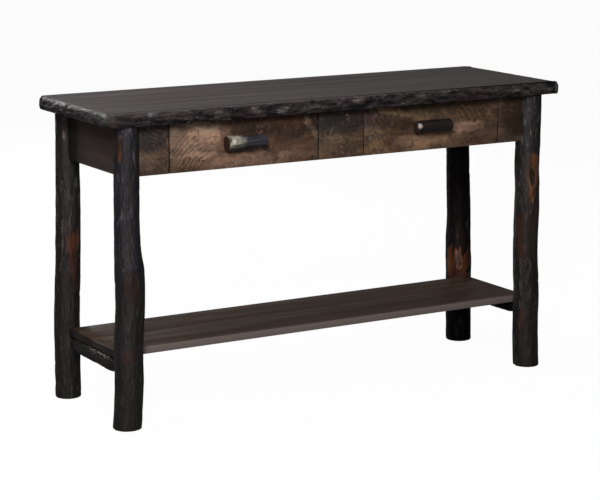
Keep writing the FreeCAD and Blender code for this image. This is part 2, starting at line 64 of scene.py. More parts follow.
# Places where the bark is off or worn, and painted highlights: height, facing in degrees, half height,
# half width, depth, tone (-0.4 pale grey, 0 orange, 0.2 brown, 0.4 red-brown, 0.7 maroon, 1 olive).
# The pale grey places all face the lamps and are painted highlights.
leg_bare_places_and_highlights = {
    "leg_front_left": [
        (666, -146, 24, 8, 0.95, 0.0), (676, -163, 34, 9, 0.8, 0.45), (348, -106, 42, 22, 0.62, 0.66),
        (505, -40, 46, 8, 0.7, 0.6), (186, -116, 34, 16, 0.6, 0.6), (706, -138, 6, 7, 0.5, -0.4),
        (394, -136, 8, 4, 0.45, -0.4), (560, 40, 60, 16, 0.8, 0.2), (250, 80, 70, 18, 0.7, 0.4)],
    "leg_front_right": [
        (534, -92, 50, 25, 0.95, 0.14), (512, -122, 36, 7, 0.85, 0.3), (466, -108, 34, 15, 0.85, 0.32),
        (430, -66, 50, 12, 0.8, 0.42), (356, -150, 72, 15, 0.85, 0.5), (356, -94, 72, 19, 0.75, 1.0),
        (120, -146, 44, 6, 0.7, 0.4), (125, -108, 50, 20, 0.45, 0.7), (697, -155, 5, 8, 0.4, -0.4),
        (692, -126, 8, 5, 0.42, -0.4), (560, 60, 70, 18, 0.8, 0.3), (230, 100, 60, 16, 0.7, 0.2)],
    "leg_back_left": [
        (408, -90, 32, 20, 0.85, 0.28), (338, -88, 48, 18, 0.65, 0.55), (669, -129, 10, 4, 0.5, -0.4),
        (654, -157, 10, 4, 0.4, -0.4), (633, -161, 12, 4, 0.36, -0.4), (578, -126, 9, 3, 0.4, -0.4),
        (553, -142, 4, 10, 0.42, -0.4), (524, -108, 9, 4, 0.42, -0.4), (484, -132, 12, 5, 0.36, -0.4),
        (445, -122, 10, 4, 0.36, -0.4), (520, 70, 60, 18, 0.9, 0.15), (200, 120, 60, 14, 0.7, 0.4)],
    "leg_back_right": [
        (228, -165, 40, 24, 0.8, 0.24), (228, -90, 36, 20, 0.75, 0.32), (190, -125, 12, 44, 0.9, 0.45),
        (238, -127, 34, 11, 0.75, -0.35), (290, -118, 50, 22, 0.45, 0.7), (540, 90, 80, 18, 0.8, 0.3),
        (330, 140, 50, 14, 0.7, 0.1)],
}
# Knots: height, facing, half height, half width of the dark heart
leg_knots = {
    "leg_front_left": [(430, 60, 8, 5)],
    "leg_front_right": [(514, -101, 20, 8)],
    "leg_back_left": [(300, 60, 8, 5)],
    "leg_back_right": [(221, -117, 4, 3), (620, 100, 8, 5)],
}


def drop_selection():
    if bpy.context.mode != "OBJECT":
        bpy.ops.object.mode_set(mode="OBJECT")
    bpy.ops.object.select_all(action="DESELECT")


def pick_edges(piece, wanted):
    """Selects, in edit mode, only the edges whose two ends satisfy the test."""
    bpy.ops.mesh.select_mode(type="EDGE")
    bpy.ops.mesh.select_all(action="DESELECT")
    bpy.ops.object.mode_set(mode="OBJECT")
    verts = piece.data.vertices
    for edge in piece.data.edges:
        edge.select = wanted(verts[edge.vertices[0]].co, verts[edge.vertices[1]].co)
    bpy.ops.object.mode_set(mode="EDIT")


def eased(share):
    """A share kept between 0 and 1, with a soft start and end."""
    share = min(1.0, max(0.0, share))
    return share * share * (3 - 2 * share)


def along_log(stations, height):
    """Radius and centre of a log at a height, on a smooth line through its stations."""
    last = len(stations) - 1
    i = 0
    while i < last - 1 and height > stations[i + 1][0]:
        i += 1
    low, high = stations[i], stations[i + 1]
    span = high[0] - low[0]
    t = min(1.0, max(0.0, (height - low[0]) / span))
    before, after = stations[max(i - 1, 0)], stations[min(i + 2, last)]
    found = []
    for k in (1, 2, 3):
        rise = high[k] - low[k]
        lean_in = (high[k] - before[k]) / max(high[0] - before[0], 1) * span if i else rise
        lean_out = (after[k] - low[k]) / max(after[0] - low[0], 1) * span if i + 1 < last else rise
        if k == 1 and abs(rise) < 0.2:
            lean_in = lean_out = rise
        t2, t3 = t * t, t * t * t
        found.append((2 * t3 - 3 * t2 + 1) * low[k] + (t3 - 2 * t2 + t) * lean_in
                     + (3 * t2 - 2 * t3) * high[k] + (t3 - t2) * lean_out)
    return found


def bark_at(x, y, height, seed, bare_places_and_highlights, knots):
    """Relief in metres, bareness, tone, crack and knot heart at a place on a log, in metres."""
    turn = math.degrees(math.atan2(y, x))
    radius = math.hypot(x, y)

    def spread(at, facing, half_tall, half_wide):
        """How far the place is from the middle of a patch, where 1 is the patch's edge."""
        around = (turn - facing + 180) % 360 - 180
        side = math.radians(around) * radius / (half_wide * mm)
        up = (height * 1000 - at) / half_tall
        return math.sqrt(side * side + up * up)

    ragged = noise.noise(Vector((x * 60, y * 60, height * 20 + seed)))
    ragged += 0.7 * noise.noise(Vector((x * 170, y * 170, height * 40 + seed)))
    # A trace of plain tone, so that the blend holds where no bare place is near
    plain_tone, weight = 0.3, 0.002
    mixed = plain_tone * weight
    bare, heart, lift = 0.0, 0.0, 0.0
    for at, facing, half_tall, half_wide, depth, tone in bare_places_and_highlights:
        near = spread(at, facing, half_tall, half_wide) + 0.55 * ragged
        share = depth * eased((1.2 - near) / 0.6)
        bare = max(bare, share)
        weight += share ** 2
        mixed += share ** 2 * tone
    for at, facing, half_tall, half_wide in knots:
        near = spread(at, facing, half_tall, half_wide) + 0.12 * ragged
        heart = max(heart, eased((1.7 - near) / 1.0))
        swell = 0.0010 * math.exp(-((near - 1.5) / 0.7) ** 2)
        sink = 0.0014 * eased((1.1 - near) / 0.6)
        lift += half_wide / 8 * (swell - sink)
    sway = noise.noise(Vector((x * 22, y * 22, height * 13 + seed * 2))) * 0.5
    strand = noise.noise(Vector((x * 66 + sway, y * 66 - sway, height * 9 + seed * 3)))
    finer = noise.noise(Vector((x * 150 + sway, y * 150 - sway, height * 24 + seed * 5)))
    crack = eased(1 - abs(strand) / 0.17) + 0.55 * eased(1 - abs(finer) / 0.14)
    crack = min(1.0, crack) * (1 - 0.88 * bare)
    lump = noise.noise(Vector((x * 15, y * 15, height * 7 + seed * 7)))
    plate = noise.noise(Vector((x * 120, y * 120, height * 30 + seed)))
    lift += 0.0012 * lump + 0.0008 * plate * (1 - 0.7 * bare) - 0.0009 * crack - 0.0007 * bare
    return lift, bare, mixed / weight, crack, heart


def bark_log(name, length, stations, around, cuts, rim, seed, bare_places_and_highlights=(), knots=()):
    """Bark-on log standing on z = 0 about the origin: turned blank, ringed, then carved."""
    start = stations[0][1] * mm
    drop_selection()
    bpy.ops.mesh.primitive_cylinder_add(
        vertices=around, radius=start, depth=length, end_fill_type="NGON", location=(0, 0, length / 2))
    log = bpy.context.object
    log.name = name
    bpy.ops.object.transform_apply(location=True, rotation=True, scale=True)
    bpy.ops.object.mode_set(mode="EDIT")
    pick_edges(log, lambda a, b: abs(a.z - b.z) < 0.0001)
    bpy.ops.mesh.bevel(offset=rim, segments=3, affect="EDGES")
    for count in cuts:
        pick_edges(log, lambda a, b: abs(a.z - b.z) > rim * 1.2 and (a.xy - b.xy).length < 0.0001)
        bpy.ops.mesh.subdivide(number_cuts=count)
    bpy.ops.object.mode_set(mode="OBJECT")
    mesh = log.data
    marks = {"bare": [], "tone": [], "crack": [], "heart": []}
    for vert in mesh.vertices:
        x, y, z = vert.co
        out = math.hypot(x, y)
        radius, cx, cy = along_log(stations, z * 1000)
        lift, bare, tone, crack, heart = bark_at(x, y, z, seed, bare_places_and_highlights, knots)
        share = out / start
        grown = share * (radius * mm + lift * eased((share - 0.6) / 0.3))
        vert.co.x = cx * mm + x / out * grown
        vert.co.y = cy * mm + y / out * grown
        for key, value in (("bare", bare), ("tone", tone), ("crack", crack), ("heart", heart)):
            marks[key].append(value)
    for key, values in marks.items():
        mesh.attributes.new(key, "FLOAT", "POINT").data.foreach_set("value", values)
    bpy.ops.object.shade_smooth_by_angle(angle=math.radians(55))
    return log


def stain(red, green, blue, share=1.0):
    """Colour as it is seen on the piece, 0 to 255, darkened or lightened for a shader."""
    seen = []
    for c in (red, green, blue):
        c = min(255, c * share) / 255
        seen.append(c / 12.92 if c <= 0.04045 else ((c + 0.055) / 1.055) ** 2.4)
    return (*seen, 1.0)


def wire(tree, kind, plugs=(), **traits):
    """Adds a node, sets its traits, and plugs sockets or values into its inputs."""
    node = tree.nodes.new(kind)
    for key, value in traits.items():
        setattr(node, key, value)
    for key, value in dict(plugs).items():
        socket = node.inputs[key]
        if isinstance(value, bpy.types.NodeSocket):
            tree.links.new(value, socket)
        else:
            socket.default_value = value
    return node


def lay_over(tree, share, under, over):
    return wire(tree, "ShaderNodeMix", {0: share, 6: under, 7: over}, data_type="RGBA").outputs[2]


def between(tree, share, first, second):
    return wire(tree, "ShaderNodeMix", {0: share, 2: first, 3: second}).outputs[0]


def reckon(tree, way, a, b=0.0):
    return wire(tree, "ShaderNodeMath", {0: a, 1: b}, operation=way).outputs[0]


def times(tree, a, b):
    return reckon(tree, "MULTIPLY", a, b)


def plus(tree, a, b):
    return reckon(tree, "ADD", a, b)


def along_axis(tree, vector, axis):
    return wire(tree, "ShaderNodeSeparateXYZ", {0: vector}).outputs[axis]


def window(tree, value, low, high, bottom=0.0, top=1.0, curve="SMOOTHSTEP"):
    """Step from bottom, where the value is low, to top, where it is high, soft or straight."""
    node = wire(tree, "ShaderNodeMapRange", {
        "Value": value, "From Min": low, "From Max": high, "To Min": bottom, "To Max": top},
        interpolation_type=curve)
    return node.outputs["Result"]


def tints(tree, value, stops):
    """Colour ramp over a value, from stops of place and colour."""
    ramp = wire(tree, "ShaderNodeValToRGB", {0: value})
    while len(ramp.color_ramp.elements) < len(stops):
        ramp.color_ramp.elements.new(0.5)
    for element, (at, colour) in zip(ramp.color_ramp.elements, stops):
        element.position = at
        element.color = colour
    return ramp.outputs[0]


def speckle(tree, where, scale, detail=4.0, roughness=0.55, stretch=(1, 1, 1), shift=(0, 0, 0)):
    turned = wire(tree, "ShaderNodeMapping", {"Vector": where, "Scale": stretch, "Location": shift})
    grain = wire(tree, "ShaderNodeTexNoise", {
        "Vector": turned.outputs[0], "Scale": scale, "Detail": detail, "Roughness": roughness})
    return grain.outputs[0]


def new_finish(name, roughness=0.5, specular=0.4):
    finish = bpy.data.materials.new(name)
    finish.use_nodes = True
    tree = finish.node_tree
    shader = tree.nodes["Principled BSDF"]
    shader.inputs["Roughness"].default_value = roughness
    shader.inputs["Specular IOR Level"].default_value = specular
    where = wire(tree, "ShaderNodeTexCoord").outputs["Object"]
    return finish, tree, shader, where


def raise_grain(tree, shader, height, distance, strength=1.0):
    bump = wire(tree, "ShaderNodeBump", {"Height": height, "Distance": distance, "Strength": strength})
    tree.links.new(bump.outputs[0], shader.inputs["Normal"])


def new_group(name, inputs, outputs):
    """Shader group whose named inputs and outputs have the given kinds, and what it is given."""
    group = bpy.data.node_groups.new(name, "ShaderNodeTree")
    for way, kinds in (("INPUT", inputs), ("OUTPUT", outputs)):
        for label, kind in kinds.items():
            group.interface.new_socket(name=label, in_out=way, socket_type=f"NodeSocket{kind}")
    return group, wire(group, "NodeGroupInput").outputs


# Bark finish, shared by all the logs: charcoal plates, darker near the floor partly as painted shade, grey
# flecks partly as painted highlights, black cracks, bare wood
def plate_tints(tree, strand, crevice, shade, full):
    """Colour of the plates: dark between the strands, in shade beside them and full on top."""
    dim = lay_over(tree, window(tree, strand, 0.34, 0.50, curve="LINEAR"), crevice, shade)
    return lay_over(tree, window(tree, strand, 0.50, 0.68, curve="LINEAR"), dim, full)


def bark_plates(tree, where, strand, given):
    """Plates in one colour high on the log and a darker one near the floor, partly painted shade, flecked
    with grey that is partly painted highlight, and cracked.
    """
    broad = speckle(tree, where, 13, 3, 0.5, (1, 1, 0.30), (3, 1, 0))
    fleck = speckle(tree, where, 110, 5, 0.65, (1, 1, 0.20), (0, 7, 0))
    up = plus(tree, along_axis(tree, where, "Z"), times(tree, broad, 0.24))
    high = window(tree, up, 0.36, 0.62)
    tall = plate_tints(tree, strand, stain(9, 8, 9), given["High Shade"], given["High"])
    short = plate_tints(tree, strand, stain(8, 7, 7), given["Low Shade"], given["Low"])
    # The darker plates near the floor are partly painted shade.
    plates = lay_over(tree, high, short, tall)
    plates = lay_over(tree, window(tree, broad, 0.44, 0.62, 0.0, 0.7), plates, stain(20, 17, 17))
    # Grey flecks, mostly high on the log, are partly painted highlights.
    grey = times(tree, window(tree, fleck, 0.55, 0.70), window(tree, broad, 0.64, 0.44, 0.15, 1.0))
    grey = times(tree, grey, window(tree, high, 0.0, 1.0, 0.25, given["Flecks"]))
    plates = lay_over(tree, grey, plates, stain(116, 114, 114))
    return lay_over(tree, times(tree, given["Crack"], 0.4), plates, stain(6, 5, 5))


def bare_wood(tree, where, figure, bare, tone):
    """Wood in the colour of its tone, from pale grey, a painted highlight, to olive, darker where bark is
    left.
    """
    wood = tints(tree, plus(tree, times(tree, tone, 0.5), 0.2), [
        (0.0, stain(124, 104, 110)), (0.2, stain(122, 80, 54)), (0.3, stain(78, 46, 24)),
        (0.4, stain(68, 38, 28)), (0.55, stain(40, 27, 25)), (0.7, stain(38, 33, 20))])
    wood = lay_over(tree, window(tree, figure, 0.42, 0.62, 0.0, 0.8), wood, stain(26, 17, 13))
    light = speckle(tree, where, 46, 4, 0.6, (1, 1, 0.22), (1, 9, 4))
    pale = times(tree, window(tree, light, 0.58, 0.74, 0.0, 0.55), window(tree, tone, 0.5, 0.2))
    wood = lay_over(tree, pale, wood, stain(150, 116, 88))
    return lay_over(tree, window(tree, bare, 0.66, 0.30, 0.0, 0.75), wood, stain(27, 18, 15))


def hickory_bark_group():
    """Skin of a log: plates of bark, wood where they are off, knots, and the relief."""
    group, given = new_group("hickory_bark", {
        "Vector": "Vector", "Bare": "Float", "Tone": "Float", "Crack": "Float", "Heart": "Float",
        "High": "Color", "High Shade": "Color", "Low": "Color", "Low Shade": "Color",
        "Flecks": "Float"}, {"Color": "Color", "Roughness": "Float", "Height": "Float"})
    where, bare, heart = given["Vector"], given["Bare"], given["Heart"]
    strand = speckle(group, where, 95, 7, 0.70, (1, 1, 0.26))
    figure = speckle(group, where, 60, 6, 0.65, (1, 1, 0.12), (5, 0, 2))
    plates = bark_plates(group, where, strand, given)
    wood = bare_wood(group, where, figure, bare, given["Tone"])
    torn = plus(group, bare, times(group, reckon(group, "SUBTRACT", strand, 0.5), 1.3))
    torn = times(group, window(group, torn, 0.16, 0.72), window(group, bare, 0.02, 0.2))
    skin = lay_over(group, torn, plates, wood)
    ring = times(group, window(group, heart, 0.05, 0.30), window(group, heart, 0.70, 0.45))
    ring = times(group, ring, window(group, figure, 0.60, 0.40, 0.1, 0.7))
    skin = lay_over(group, ring, skin, stain(112, 92, 70))
    skin = lay_over(group, window(group, heart, 0.40, 0.85, 0.0, 0.9), skin, stain(24, 17, 10))
    dull = window(group, strand, 0.36, 0.66, 0.62, 0.47)
    pores = speckle(group, where, 260, 4, 0.6, (1, 1, 0.3))
    rise = plus(group, times(group, strand, 0.7), times(group, pores, 0.3))
    calm = plus(group, times(group, strand, 0.2), 0.35)
    wire(group, "NodeGroupOutput", {
        "Color": skin, "Roughness": between(group, torn, dull, 0.36),
        "Height": between(group, torn, rise, calm)})
    return group


hickory_bark = hickory_bark_group()


def bark_finish(name, high, flecks, low=(15, 11, 10), specular=0.5):
    """Bark in the colour high, and low near the floor, which is partly painted shade, with its share of
    grey flecks, which are partly painted highlights.
    """
    finish, tree, shader, where = new_finish(name, specular=specular)
    shader.inputs["Specular Tint"].default_value = (1.0, 0.86, 0.87, 1.0)
    skin = wire(tree, "ShaderNodeGroup", {
        "Vector": where, "Flecks": flecks,
        "High": stain(*high), "High Shade": stain(*high, share=0.62),
        "Low": stain(*low), "Low Shade": stain(*low, share=0.66)}, node_tree=hickory_bark)
    for key in ("Bare", "Tone", "Crack", "Heart"):
        painted = wire(tree, "ShaderNodeAttribute", attribute_name=key.lower())
        tree.links.new(painted.outputs["Fac"], skin.inputs[key])
    tree.links.new(skin.outputs["Color"], shader.inputs["Base Color"])
    tree.links.new(skin.outputs["Roughness"], shader.inputs["Roughness"])
    raise_grain(tree, shader, skin.outputs["Height"], 0.0026)
    return finish


brown_bark = bark_finish("brown_bark", (34, 28, 26), 0.6)
# The back right log's near black bark, shared by the right stretcher, is dark bark darkened further as
# painted shade, for the shadow under the top.
leg_barks = {
    "leg_front_left": bark_finish("slate_bark", (34, 33, 45), 0.45),
    "leg_front_right": bark_finish("grey_bark", (35, 32, 34), 0.75),
    "leg_back_left": brown_bark,
    "leg_back_right": bark_finish("black_bark_and_shade", (14, 11, 10), 0.1, (8, 6, 5), 0.12),
}
for number, name in enumerate(leg_spots, 1):
    leg = bark_log(
        f"{name}_log", leg_height, leg_stations[name], around=112, cuts=(17, 19), rim=0.0035,
        seed=11.3 * number, bare_places_and_highlights=leg_bare_places_and_highlights[name], knots=leg_knots[name])
    at_x, at_y = leg_spots[name]
    leg.data.transform(Matrix.Translation((at_x * mm, at_y * mm, 0)))
    leg.data.materials.append(leg_barks[name])
    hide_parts(name)
    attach(leg, "table")


# Stretchers: thinner bark-on logs across each end. Their tenoned ends go into sockets in
# the legs, and a flat planed along the top carries the shelf.
stretcher_length = 0.300
shelf_seat = 0.167
# Height of the axis, stations along the log from the front, and places where the bark is off
stretcher_shapes = {
    "stretcher_left": (-leg_out, 147.0, [
        (0, 13.5, 0, 0), (24, 13.6, 0, 0), (55, 22.6, 0, 0), (90, 23.0, 0.4, 0), (150, 22.8, 0, 0),
        (210, 23.0, -0.4, 0), (245, 22.6, 0, 0), (276, 13.6, 0, 0), (300, 13.5, 0, 0)],
        [(34, 160, 24, 16, 0.6, 0.45), (180, 100, 60, 14, 0.5, 0.6)]),
    "stretcher_right": (leg_out, 151.0, [
        (0, 13.5, 0, 0), (24, 13.6, 0, 0), (55, 18.7, 0, 0), (150, 19.0, 0, 0), (245, 18.7, 0, 0),
        (276, 13.6, 0, 0), (300, 13.5, 0, 0)],
        [(200, 60, 50, 12, 0.6, 0.4)]),
}
stretcher_barks = {"stretcher_left": brown_bark, "stretcher_right": leg_barks["leg_back_right"]}
for number, (name, (at_x, axis_z, stations, bare_places_and_highlights)) in enumerate(stretcher_shapes.items()):
    stretcher = bark_log(
        f"{name}_log", stretcher_length, stations, around=72, cuts=(9, 9), rim=0.002,
        seed=50 + 9.7 * number, bare_places_and_highlights=bare_places_and_highlights)
    axis_start = Matrix.Translation((at_x * mm, stretcher_length / 2, axis_z * mm))
    stretcher.data.transform(axis_start @ Matrix.Rotation(math.pi / 2, 4, "X"))
    bpy.ops.object.mode_set(mode="EDIT")
    bpy.ops.mesh.select_all(action="SELECT")
    bpy.ops.mesh.bisect(
        plane_co=(0, 0, shelf_seat), plane_no=(0, 0, 1), use_fill=True, clear_outer=True)
    bpy.ops.object.mode_set(mode="OBJECT")
    stretcher.data.materials.append(stretcher_barks[name])
    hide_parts(name)
    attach(stretcher, "table")


# Aprons and shelf: planed boards in a dark brown stain with a satin coat, their sharp
# corners eased by hand. The end and back aprons are housed in the legs, and the two shelf
# planks are scribed round them.
def board_grain_group():
    """Lengthwise streak and finer pore of a planed board, each drawn out by its own stretch."""
    group, given = new_group("board_grain", {
        "Vector": "Vector", "Stretch": "Vector", "Fine Stretch": "Vector", "Scale": "Float"},
        {"Streak": "Float", "Pore": "Float"})
    where, scale = given["Vector"], given["Scale"]
    streak = speckle(group, where, scale, 5, 0.6, given["Stretch"], (2, 5, 1))
    pore = speckle(group, where, times(group, scale, 5), 3, 0.6, given["Fine Stretch"], (8, 3, 2))
    wire(group, "NodeGroupOutput", {"Streak": streak, "Pore": pore})
    return group


board_grain = board_grain_group()


def grain_along(tree, where, axis, scale):
    """Streak and pore of a board whose grain runs along an axis, 0 to 2."""
    stretch = [0.05 if k == axis else 1.0 for k in range(3)]
    fine_stretch = [0.025 if k == axis else 1.0 for k in range(3)]
    grain = wire(tree, "ShaderNodeGroup", {
        "Vector": where, "Stretch": stretch, "Fine Stretch": fine_stretch, "Scale": scale},
        node_tree=board_grain)
    return grain.outputs["Streak"], grain.outputs["Pore"]


def painted_log_shade(tree, where, skin):
    """Painted shade on the back end of an end apron beside the back log: a near black band, then dark brown
    up to the log.
    """
    along = along_axis(tree, where, "Y")
    skin = lay_over(tree, window(tree, along, 0.072, 0.092, 0.0, 0.85), skin, stain(14, 9, 7))
    return lay_over(tree, window(tree, along, 0.098, 0.108), skin, stain(25, 21, 18))


def normal_along(tree, axis):
    return along_axis(tree, wire(tree, "ShaderNodeNewGeometry").outputs["Normal"], axis)


def shelf_tones_and_painted_light(tree, where, streak, skin):
    """Shelf paler along the front edge of its top, with painted light on its front face, dark sawn ends,
    and painted shade in its back corners beside the back logs.
    """
    along = along_axis(tree, where, "Y")
    shelf_edges = plus(tree, along, times(tree, streak, 0.03))
    skin = lay_over(tree, window(tree, shelf_edges, -0.092, -0.118, 0.0, 0.6), skin, stain(88, 74, 69))
    # Painted light: the face toward the front, where the lamps stand, is lightened.
    front = window(tree, normal_along(tree, "Y"), -0.3, -0.8, 0.0, 0.9)
    skin = lay_over(tree, front, skin, stain(108, 96, 92))
    sawn_end = reckon(tree, "ABSOLUTE", normal_along(tree, "X"))
    skin = lay_over(tree, window(tree, sawn_end, 0.3, 0.8, 0.0, 0.92), skin, stain(22, 13, 9))
    # Painted shade in the back corners, beside the back logs.
    outward = reckon(tree, "ABSOLUTE", along_axis(tree, where, "X"))
    corner = times(tree, window(tree, outward, 0.590, 0.602), window(tree, along, 0.06, 0.11))
    return lay_over(tree, corner, skin, stain(24, 15, 11))


def planed_finish(name, axis, dark, middle, light, roughness, fine=45, log_shade=False, shelf_edges=False):
    """Planed and stained board whose grain runs along an axis, in three tones of one stain."""
    finish, tree, shader, where = new_finish(name, roughness)
    streak, pore = grain_along(tree, where, axis, fine)
    cloud = speckle(tree, where, 5, 2, 0.5, shift=(4, 4, 4))
    skin = tints(tree, streak, [(0.30, stain(*dark)), (0.52, stain(*middle)), (0.75, stain(*light))])
    skin = lay_over(tree, window(tree, pore, 0.60, 0.72, 0.0, 0.45), skin, stain(*dark, share=0.6))
    skin = lay_over(tree, window(tree, cloud, 0.40, 0.70, 0.0, 0.35), skin, stain(*dark))
    if log_shade:
        skin = painted_log_shade(tree, where, skin)
    if shelf_edges:
        skin = shelf_tones_and_painted_light(tree, where, streak, skin)
    tree.links.new(skin, shader.inputs["Base Color"])
    tree.links.new(window(tree, streak, 0.3, 0.7, roughness - 0.06, roughness + 0.08),
                   shader.inputs["Roughness"])
    rise = plus(tree, times(tree, streak, 0.6), times(tree, pore, -0.4))
    raise_grain(tree, shader, rise, 0.0004, 0.6)
    return finish


def eased_board(node, width, finish, body):
    """Copy of a CAD board with its sharp corners eased, standing for that board."""
    drop_selection()
    board = bpy.data.objects.new(f"{node}_board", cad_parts[node].data.copy())
    bpy.context.collection.objects.link(board)
    board.data.materials.clear()
    bpy.context.view_layer.objects.active = board
    board.select_set(True)
    bpy.ops.object.mode_set(mode="EDIT")
    bpy.ops.mesh.select_all(action="SELECT")
    bpy.ops.mesh.remove_doubles(threshold=0.00002)
    bpy.ops.mesh.dissolve_limited(angle_limit=math.radians(2))
    bpy.ops.object.mode_set(mode="OBJECT")
    ease = board.modifiers.new("ease", "BEVEL")
    ease.width = width
    ease.segments = 2
    ease.limit_method = "ANGLE"
    ease.angle_limit = math.radians(50)
    bpy.ops.object.modifier_apply(modifier="ease")
    bpy.ops.object.shade_smooth_by_angle(angle=math.radians(40))
    board.data.materials.append(finish)
    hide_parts(node)
    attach(board, body)


planed_ease = 0.0012
# The end aprons carry painted shade on their back ends, beside the back logs.
end_apron_finish = planed_finish(
    "end_apron_stain", 1, (46, 35, 31), (68, 53, 48), (86, 70, 63), 0.5, log_shade=True)
long_board_finish = planed_finish("board_stain", 0, (44, 32, 25), (60, 44, 35), (76, 58, 46), 0.40)
# The shelf carries painted light on its front face and painted shade in its back corners.
shelf_finish = planed_finish(
    "shelf_stain", 0, (44, 32, 24), (60, 44, 33), (76, 58, 44), 0.40, shelf_edges=True)
for name, finish in (("apron_left", end_apron_finish), ("apron_right", end_apron_finish),
                     ("apron_back", long_board_finish), ("shelf_front", shelf_finish),
                     ("shelf_back", shelf_finish)):
    eased_board(name, planed_ease, finish, "table")


# Frame inside the apron: sawn rails, cleats and partitions, stained or left pale, and
# never seen from outside. They carry the slides and hold the top.
def dress(names, finish):
    for name in names:
        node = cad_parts[name]
        if not node.data.materials:
            node.data.materials.append(finish)
        for slot in node.material_slots:
            slot.material = finish


dress(("rail_upper", "rail_lower", "cleat_back"), planed_finish(
    "rail_stain", 0, (40, 30, 25), (62, 48, 40), (80, 64, 54), 0.6))
dress(("cleat_left", "cleat_right"), end_apron_finish)
pale_tones = ((146, 108, 70), (178, 138, 96), (200, 164, 120))
pale_wood = planed_finish("drawer_wood", 1, *pale_tones, 0.45)
dress([f"partition_{place}" for place in ("left_outer", "left_inner", "right_inner", "right_outer")],
      pale_wood)


# Front board: one wide board with its saw marks left on, cut into three stiles and two
# drawer fronts so that the streaks run on from piece to piece. Weathered grey, tan and brown.
def saw_arcs_group():
    """The arcs that a round saw blade leaves across a board."""
    group, given = new_group(
        "saw_arcs", {"Vector": "Vector", "Centre": "Vector", "Spacing": "Float"},
        {"Arc": "Float"})
    away = wire(group, "ShaderNodeVectorMath", {0: given["Vector"], 1: given["Centre"]},
                operation="SUBTRACT")
    flat = wire(group, "ShaderNodeVectorMath", {0: away.outputs[0], 1: (1, 0, 1)}, operation="MULTIPLY")
    reach = wire(group, "ShaderNodeVectorMath", {0: flat.outputs[0]}, operation="LENGTH").outputs["Value"]
    wobble = speckle(group, given["Vector"], 24, 4, 0.6)
    turns = reckon(group, "DIVIDE", reach, given["Spacing"])
    turns = plus(group, turns, times(group, wobble, 2.6))
    wave = reckon(group, "SINE", times(group, turns, 6.2832))
    wire(group, "NodeGroupOutput", {"Arc": window(group, wave, 0.2, 1.0)})
    return group


# Patches of weathered colour on the board, in millimetres: centre along and up, reach along
# and up, lean in degrees, colour and strength
board_patches = (
    (-528, 704, 60, 46, 0, (36, 32, 31), 0.95),
    (-528, 630, 60, 34, 0, (78, 61, 51), 0.75),
    (-462, 662, 24, 80, 0, (100, 80, 64), 0.8),
    (-380, 674, 66, 40, 20, (150, 118, 98), 0.95),
    (-395, 626, 70, 17, 0, (94, 70, 53), 0.9),
    (-385, 716, 60, 14, -4, (134, 115, 94), 0.85),
    (-325, 690, 18, 50, 10, (88, 66, 54), 0.8),
    (-270, 716, 60, 22, 0, (72, 54, 44), 0.8),
    (-180, 706, 130, 34, 0, (60, 39, 27), 0.92),
    (-160, 668, 90, 20, 0, (76, 54, 42), 0.8),
    (-230, 622, 150, 20, 0, (122, 95, 79), 0.85),
    (-300, 636, 40, 12, -10, (104, 78, 62), 0.7),
    (-120, 634, 50, 30, 20, (98, 72, 57), 0.6),
    (-86, 690, 10, 46, 28, (120, 98, 80), 0.75),
    (0, 704, 80, 42, 0, (38, 34, 32), 0.95),
    (0, 630, 80, 34, 0, (78, 60, 48), 0.7),
    (0, 658, 78, 5, -4, (112, 94, 74), 0.8),
    (20, 648, 60, 3, -4, (122, 98, 72), 0.6),
    (100, 706, 44, 34, 0, (42, 26, 22), 0.9),
    (175, 708, 120, 9, -14, (106, 84, 60), 0.8),
    (165, 684, 70, 20, 0, (46, 32, 20), 0.85),
    (120, 660, 80, 4, -4, (118, 92, 66), 0.7),
    (100, 628, 50, 20, 0, (112, 84, 58), 0.7),
    (180, 640, 60, 24, 0, (70, 46, 35), 0.8),
    (300, 712, 110, 18, 0, (84, 66, 46), 0.8),
    (270, 634, 110, 24, 0, (126, 98, 76), 0.85),
    (400, 700, 80, 32, 0, (66, 46, 32), 0.85),
    (390, 660, 60, 14, 0, (136, 108, 90), 0.75),
    (455, 670, 20, 70, 0, (76, 57, 44), 0.7),
    (430, 622, 50, 16, 0, (92, 68, 54), 0.7),
    (535, 680, 62, 60, 0, (42, 28, 17), 0.95),
    (520, 622, 60, 16, 0, (76, 60, 50), 0.7),
)
# Centres in metres and spacing of the arcs that the saw left: the left drawer's, then two
# faint sets for the left and the right half of the board
saw_centres = (((-0.30, 0, 0.530), 0.0105), ((-0.75, 0, 0.30), 0.0115), ((0.95, 0, 1.08), 0.0125))


def weathered_patch(tree, loose, x, z, reach_x, reach_z, lean=0.0):
    spot = wire(tree, "ShaderNodeMapping", {
        "Vector": loose, "Location": (-x * mm, 0, -z * mm)}, vector_type="POINT")
    turned = wire(tree, "ShaderNodeMapping", {
        "Vector": spot.outputs[0], "Rotation": (0, math.radians(lean), 0)}, vector_type="POINT")
    sized = wire(tree, "ShaderNodeVectorMath", {
        0: turned.outputs[0], 1: (1000 / reach_x, 0, 1000 / reach_z)}, operation="MULTIPLY")
    near = wire(tree, "ShaderNodeVectorMath", {0: sized.outputs[0]}, operation="LENGTH").outputs["Value"]
    return window(tree, near, 1.25, 0.6)


def saw_marks(tree, where, loose, cloud):
    """Arcs that are plain on the left drawer and faint, in clouds, on the rest of the board."""
    arcs = saw_arcs_group()
    marks = []
    for centre, spacing in saw_centres:
        arc = wire(tree, "ShaderNodeGroup", {"Vector": where, "Centre": centre, "Spacing": spacing},
                   node_tree=arcs)
        marks.append(arc.outputs["Arc"])
    keen = times(tree, marks[0], weathered_patch(tree, loose, -420, 656, 46, 40))
    side = window(tree, along_axis(tree, loose, "X"), -0.1, 0.1)
    faint = between(tree, side, marks[1], marks[2])
    faint = times(tree, faint, window(tree, cloud, 0.46, 0.66, 0.0, 0.26))
    return reckon(tree, "MAXIMUM", keen, faint)


